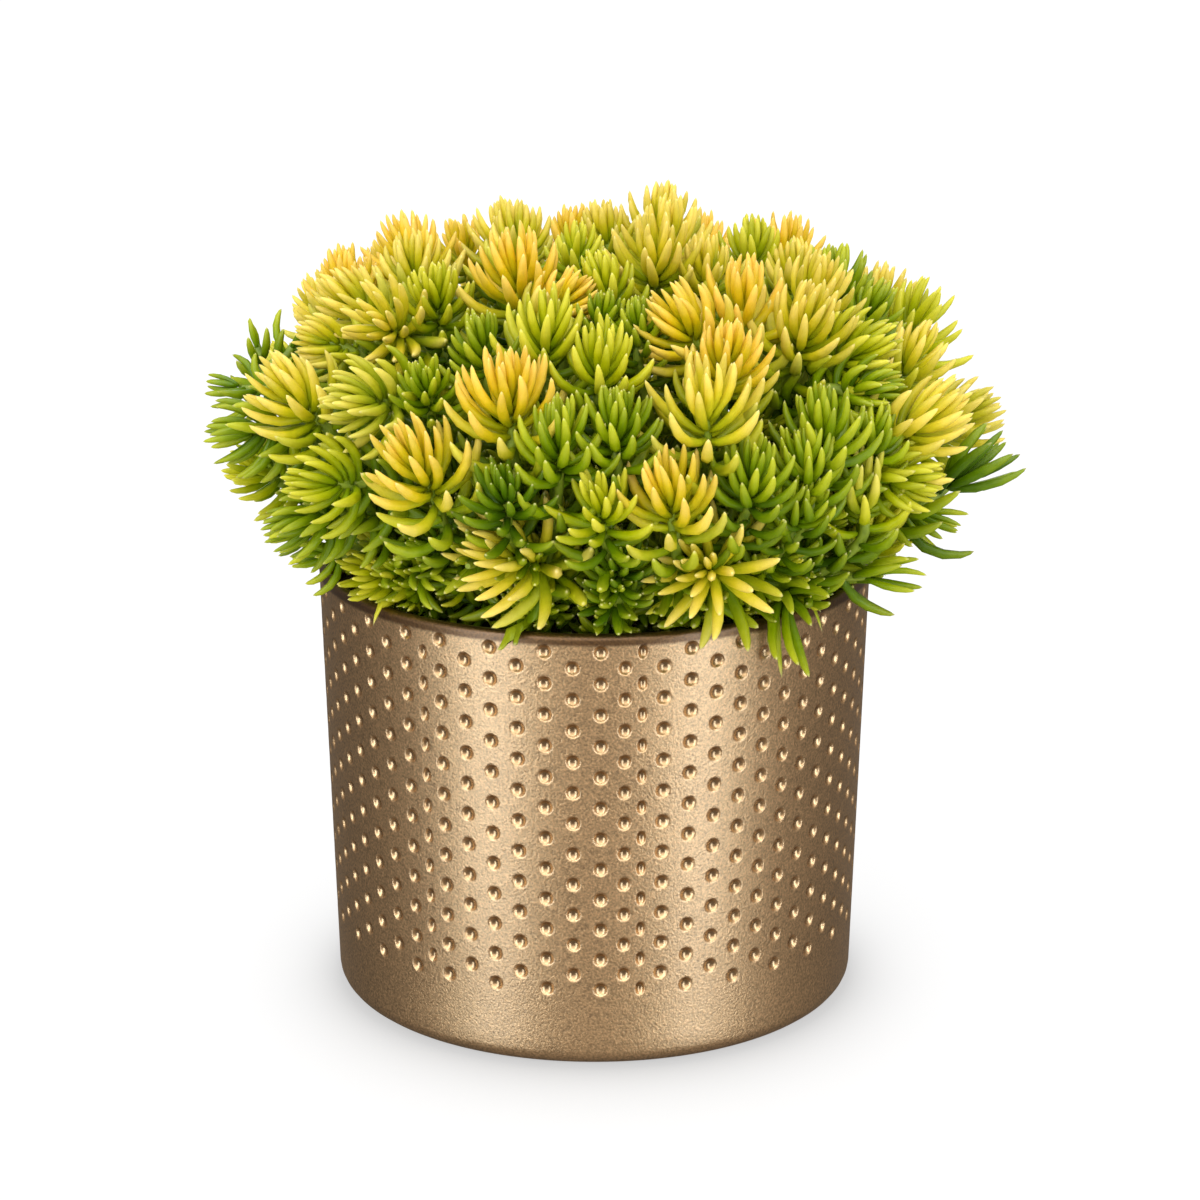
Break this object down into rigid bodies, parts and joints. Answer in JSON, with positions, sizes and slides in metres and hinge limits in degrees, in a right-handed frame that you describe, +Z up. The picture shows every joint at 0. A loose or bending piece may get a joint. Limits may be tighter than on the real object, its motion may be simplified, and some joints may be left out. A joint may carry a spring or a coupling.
{
  "type": "potted sedum plant",
  "caption": "Dense mound of forked succulent shoots with finger-like yellow-green leaves, in a round dimpled metal pot filled with soil.",
  "frame": {"origin": "centre of the pot's flat underside", "axes": "+Z up along the pot's axis, -Y towards the viewer of the picture, +X to the viewer's right"},
  "size_m": [0.1879, 0.1831, 0.1861],
  "materials": {
    "leaf_sunny": "fleshy leaf, satin waxy skin, green at the root and yellow to orange at the tip",
    "leaf_green": "fleshy leaf, satin waxy skin, green to lime",
    "pot_metal": "champagne bronze metallic, fine grain, satin, smoother in the dimples",
    "soil": "dark crumbly peat, matt"
  },
  "bodies": {
    "root": {"shoot_01": "leaf_sunny", "shoot_02": "leaf_sunny", "shoot_03": "leaf_sunny", "shoot_04": "leaf_sunny", "shoot_05": "leaf_sunny", "shoot_06": "leaf_sunny", "shoot_07": "leaf_sunny", "shoot_08": "leaf_green", "shoot_09": "leaf_sunny", "shoot_10": "leaf_green", "shoot_11": "leaf_sunny", "shoot_12": "leaf_sunny", "shoot_13": "leaf_sunny", "shoot_14": "leaf_sunny", "shoot_15": "leaf_green", "shoot_16": "leaf_sunny", "shoot_17": "leaf_green", "shoot_18": "leaf_green", "shoot_19": "leaf_green", "shoot_20": "leaf_sunny", "shoot_21": "leaf_green", "shoot_22": "leaf_green", "shoot_23": "leaf_green", "shoot_24": "leaf_green", "shoot_25": "leaf_sunny", "shoot_26": "leaf_sunny", "shoot_27": "leaf_green", "shoot_28": "leaf_sunny", "shoot_29": "leaf_green", "shoot_30": "leaf_green", "shoot_31": "leaf_sunny", "shoot_32": "leaf_sunny", "shoot_33": "leaf_sunny", "shoot_34": "leaf_green", "shoot_35": "leaf_sunny", "shoot_36": "leaf_green", "shoot_37": "leaf_green", "shoot_38": "leaf_green", "shoot_39": "leaf_sunny", "shoot_40": "leaf_green", "shoot_41": "leaf_sunny", "shoot_42": "leaf_green", "shoot_43": "leaf_sunny", "shoot_44": "leaf_green", "shoot_45": "leaf_sunny", "shoot_46": "leaf_green", "shoot_47": "leaf_green", "shoot_48": "leaf_sunny", "shoot_49": "leaf_sunny", "shoot_50": "leaf_green", "shoot_51": "leaf_sunny", "shoot_52": "leaf_green", "shoot_53": "leaf_green", "shoot_54": "leaf_sunny", "shoot_55": "leaf_sunny", "shoot_56": "leaf_green", "shoot_57": "leaf_sunny", "shoot_58": "leaf_green", "pot": "pot_metal", "soil": "soil"}
  },
  "joints": []
}
